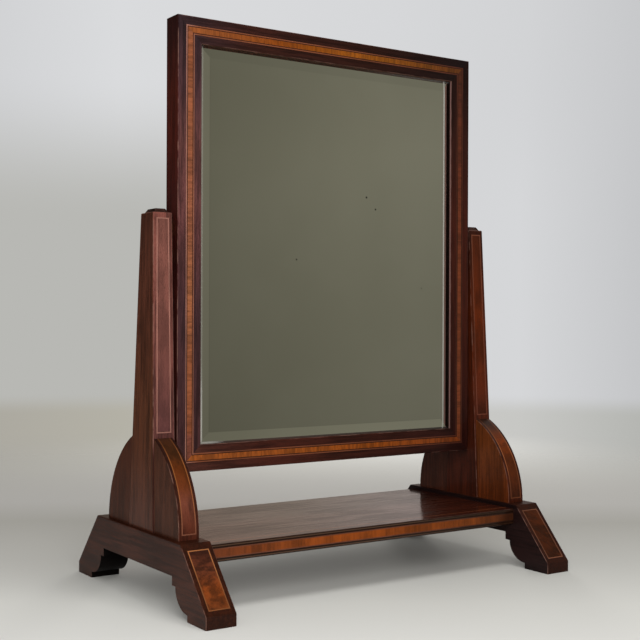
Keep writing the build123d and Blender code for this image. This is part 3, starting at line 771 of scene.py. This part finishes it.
def grind_plate(bevel_width=0.0172, bevel_drop=0.002, hair=0.0006):
    low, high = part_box("mirror_plate")
    front, edge = low.y, low.y + bevel_drop
    slope = bevel_drop / bevel_width
    profile = [(0, high.y), (0, edge + hair * 0.5), (hair * 0.3, edge + hair * 0.1)]
    profile.append((hair, edge - slope * hair))
    for turn in (-1.0, -0.5, 0.0, 0.5, 1.0):
        profile.append((bevel_width + turn * hair, front + slope * hair * (1 - turn) ** 2 / 4))
    mesh = bmesh.new()
    rings = [ring_of(mesh, low, high, inset, y) for inset, y in profile]
    mesh.faces.new(reversed(rings[0]))
    for outer, inner in zip(rings, rings[1:]):
        for i in range(4):
            mesh.faces.new((outer[i], outer[i - 3], inner[i - 3], inner[i]))
    mesh.faces.new(rings[-1])
    bmesh.ops.recalc_face_normals(mesh, faces=mesh.faces)
    data = bpy.data.meshes.new("ground_plate")
    mesh.to_mesh(data)
    mesh.free()
    plate = bpy.data.objects.new("ground_plate", data)
    scene.collection.objects.link(plate)
    return plate


plate = grind_plate()
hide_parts("mirror_plate")
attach(plate, "mirror")
print("plate ground in", len(plate.data.polygons), "faces")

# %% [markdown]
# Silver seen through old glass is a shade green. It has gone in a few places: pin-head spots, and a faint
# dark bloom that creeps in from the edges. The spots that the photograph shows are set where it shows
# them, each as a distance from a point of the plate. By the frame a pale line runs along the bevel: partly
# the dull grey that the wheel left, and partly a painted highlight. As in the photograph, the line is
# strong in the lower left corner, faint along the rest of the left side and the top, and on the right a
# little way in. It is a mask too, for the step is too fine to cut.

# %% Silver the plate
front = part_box("mirror_plate")[0].y
spots_on_plate = [((-0.052, front, 0.3763), 0.0009), ((0.0497, front, 0.4554), 0.0012),
                  ((0.0635, front, 0.4414), 0.0011), ((0.1366, front, 0.3453), 0.0007)]
narrow_line, wider_line = (0.0056, 0.0072), (0.0084, 0.0094)
right_line_sides = (0.0112, 0.0118), (0.0132, 0.0138)


def looking_glass():
    bench = finish("looking_glass")
    place = bench.place()
    low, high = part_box("mirror_plate")
    x, _, z = bench.split(place)
    from_left, from_right, from_foot, from_top = x - low.x, high.x - x, z - low.z, high.z - z
    foot_line = (1 - bench.step(from_foot, *narrow_line)) * (0.9 - bench.step(x, -0.176, -0.145) * 0.86)
    left_line = (1 - bench.step(from_left, *wider_line)) * (0.9 - bench.step(z, 0.17, 0.26) * 0.78)
    top_line = (1 - bench.step(from_top, *narrow_line)) * bench.step(x, 0.02, 0.16) * 0.12
    right_line = bench.band(from_right, *right_line_sides) * (0.4 + bench.step(z, 0.17, 0.3) * 0.3)
    # The pale line by the frame: dull ground glass, with a painted highlight strongest at the lower left
    ground_edge_and_highlight = largest(foot_line, left_line, top_line, right_line)
    bloom = bench.noise(place, detail=4, scale=38)
    from_edge = smallest(from_left, from_right, from_foot, from_top) + bloom * 0.01 - 0.005
    creep = (1 - bench.step(from_edge, 0.0, 0.007)) * 0.35
    cloud = bench.step(bench.noise(place, detail=3, scale=5), 0.35, 0.7)
    silver = bench.mix(cloud, (222, 222, 214), (230, 230, 223))
    silver = bench.mix(creep, silver, (120, 116, 100))
    spots = 0.0
    for spot, size in spots_on_plate:
        away = bench.node("VectorMath", {"operation": "DISTANCE"}, {0: place, 1: spot}, out="Value")
        spots = (1 - bench.step(away, size * 0.6, size * 1.3)) + spots
    silver = bench.mix(spots, silver, (38, 36, 32))
    dust = bench.step(bench.noise(place, detail=3, scale=60), 0.3, 0.8)
    return bench.surface({
        "Base Color": bench.mix(ground_edge_and_highlight, silver, (150, 145, 134)),
        "Metallic": 1 - ground_edge_and_highlight,
        "Roughness": 0.015 + dust * 0.03 + creep * 0.2 + ground_edge_and_highlight * 0.3,
    })


plate.data.materials.append(looking_glass())
print("plate silvered, with", len(spots_on_plate), "spots")

# %% [markdown]
# ## Dress the drawing
#
# Each solid of the drawing takes its own finish. A piece without one would show the plain colour that it
# came with, so those are named. Only the drawing's own plate should be, since the ground one stands for it.

# %% Give every piece its finish
for name, piece in nodes.items():
    if name in finishes:
        piece.data.materials.clear()
        piece.data.materials.append(finishes[name])
print("without a finish:", sorted(set(nodes) - set(finishes)))

# %% [markdown]
# ## The floor
#
# The mirror stands on a plain pale surface that runs back to a wall. The floor is a wide disc that thins
# out to nothing at its rim, where the wall takes over. Rays that bounce off the glass see it end sooner in
# front, as the table in the studio did, and beyond it they find the dark room. The paper's tone changes
# along the view in broad bands of painted light and shade, and it is painted darker far in front, against
# the key lamp's pool of light. For the rays that see the paper it also glows a little: a painted light that
# makes its shadows lighter. The glow is only for the rays that see the paper, so that it adds no light to
# the object.

# %% Lay the floor
ahead_x, ahead_y = 0.558, 0.83


def lay_floor(radius=1.9):
    mesh = bmesh.new()
    bmesh.ops.create_circle(mesh, cap_ends=True, segments=96, radius=radius)
    data = bpy.data.meshes.new("floor")
    mesh.to_mesh(data)
    mesh.free()
    floor = bpy.data.objects.new("floor", data)
    scene.collection.objects.link(floor)
    bench = finish("floor")
    place = bench.place()
    x, y, _ = bench.split(place)
    from_middle = bench.node("VectorMath", {"operation": "LENGTH"}, {0: place}, out="Value")
    rim = bench.step(from_middle, radius * 0.35, radius * 0.98)
    seen_in_glass = bench.step(y, -0.42, -0.12)
    glossy = bench.node("LightPath", out="Is Glossy Ray")
    gone = largest(rim, glossy * (1 - seen_in_glass))
    cloud = bench.noise(place, detail=3, scale=4)
    ahead = x * ahead_x + y * ahead_y + cloud * 0.04
    # Painted light and shade on the paper, in bands along the view
    paper_light_and_shade = bench.ramp(ahead * 0.5 + 0.5, [
        (0.0, (178, 177, 173)), (0.22, (208, 207, 202)), (0.34, (218, 217, 212)), (0.43, (212, 211, 205)),
        (0.54, (192, 191, 185)), (0.68, (173, 171, 164)), (0.77, (187, 185, 180)), (0.97, (190, 188, 182))])
    matt = bench.node("BsdfPrincipled", None, {
        "Base Color": bench.mix(1.0, paper_light_and_shade, (239, 239, 239), "MULTIPLY"), "Roughness": 0.8})
    # A painted glow that lightens the paper's shadows for the rays that see it
    painted_glow = bench.node("BsdfPrincipled", None, {
        "Base Color": bench.mix(1.0, paper_light_and_shade, (231, 231, 231), "MULTIPLY"), "Roughness": 0.8,
        "Emission Color": paper_light_and_shade, "Emission Strength": 0.09})
    seen = largest(glossy, glossy.out("Is Transmission Ray"), glossy.out("Is Camera Ray"))
    lit = bench.node("MixShader", None, {0: seen, 1: matt, 2: painted_glow})
    clear = bench.node("BsdfTransparent")
    both = bench.node("MixShader", None, {0: gone, 1: lit, 2: clear})
    bench.node("OutputMaterial", None, {"Surface": both})
    data.materials.append(bench.owner)
    print("floor laid,", radius * 2, "m across")


lay_floor()

# %% [markdown]
# ## The room
#
# The world does three jobs. The camera sees a pale grey wall. Polished surfaces see a pale wall behind the
# mirror and a dim room in front of it, which is what makes the glass look deep. Everything else is lit
# evenly, as in a white tent. Walls and a table could be built for that, but a world with a few soft ramps
# is quicker to render and to change.


# %% Build the room
def build_room():
    world = bpy.data.worlds.new("room")
    scene.world = world
    bench = Bench(world)
    x, y, z = bench.split(bench.node("TexCoord", out="Generated"))
    right = (x * 0.83 - y * 0.56) * 1.8 + 0.5
    high = bench.ramp(right, [
        (0.02, (209, 210, 212)), (0.2, (218, 219, 221)), (0.6, (214, 215, 217)), (0.8, (210, 211, 213)),
        (0.98, (198, 199, 201))])
    low = bench.ramp(right, [
        (0.02, (184, 184, 180)), (0.25, (184, 184, 180)), (0.7, (212, 213, 215)), (0.8, (213, 214, 216)),
        (0.98, (196, 197, 199))])
    ground = bench.ramp(right, [
        (0.02, (172, 169, 160)), (0.2, (179, 176, 165)), (0.7, (200, 200, 197)), (0.8, (199, 199, 196)),
        (0.98, (180, 181, 177))])
    wall = bench.mix(bench.step(z, 0.08, 0.2), low, high)
    wall = bench.mix(bench.step(z, -0.082, -0.064), ground, wall)
    dim = bench.ramp(x, [
        (0.0, (52, 49, 40)), (0.24, (128, 125, 110)), (0.42, (106, 104, 90)), (0.58, (131, 129, 114)),
        (0.7, (133, 131, 117)), (0.85, (126, 121, 110))])
    slope = bench.ramp(z * 0.5 + 0.5, [
        (0.3, (255, 255, 255)), (0.36, (244, 244, 244)), (0.42, (206, 206, 206)), (0.52, (232, 232, 232)),
        (0.57, (245, 245, 245)), (0.65, (232, 232, 232))])
    dim = bench.mix(1.0, dim, slope, "MULTIPLY")
    behind = bench.ramp(right, [
        (0.28, (184, 164, 148)), (0.45, (193, 178, 163)), (0.66, (220, 208, 202))])
    pale = bench.step(x * 0.9 + y * 0.45, 0.42, 0.85)
    mirrored = bench.mix(pale, dim, behind)
    from_camera = bench.node("LightPath", out="Is Camera Ray")
    shiny = largest(from_camera.out("Is Glossy Ray"), from_camera.out("Is Transmission Ray"))
    colour = bench.mix(shiny, (186, 186, 186), mirrored)
    colour = bench.mix(from_camera, colour, wall)
    light = bench.node("Background", None, {"Color": colour, "Strength": 1.0})
    bench.node("OutputWorld", None, {"Surface": light})
    world.node_tree.nodes["World Output"].is_active_output = True


build_room()
print("room built with", len(scene.world.node_tree.nodes), "nodes")

# %% [markdown]
# ## The lamps
#
# A large soft lamp stands to the left and in front, near enough that the right post gets less of it,
# where a sun would light both alike. A second hangs high up, a little in front, so the shelf's shadow
# falls straight under the shelf. The third stands low behind on the right, and its light comes through
# under the shelf. None of them shows in the glass or in the polish, which see the room instead.


# %% Hang the lamps
def hang_lamp(name, place, aim, size, power):
    lamp = bpy.data.objects.new(name, bpy.data.lights.new(name, "AREA"))
    lamp.data.shape = "SQUARE"
    lamp.data.size = size
    lamp.data.energy = power
    lamp.location = place
    lamp.visible_camera = False
    lamp.visible_glossy = False
    lamp.rotation_euler = (Vector(aim) - Vector(place)).to_track_quat("-Z", "Y").to_euler()
    scene.collection.objects.link(lamp)
    print(name, "lamp,", size, "m wide,", power, "W")


hang_lamp("key", (-0.62, -1.05, 0.62), aim=(-0.1, 0, 0.25), size=0.6, power=9)
hang_lamp("top", (0.0, -0.55, 1.8), aim=(0, 0, 0.1), size=0.7, power=14)
hang_lamp("back", (1.1, 1.4, 0.32), aim=(0, 0, 0.1), size=0.4, power=14)
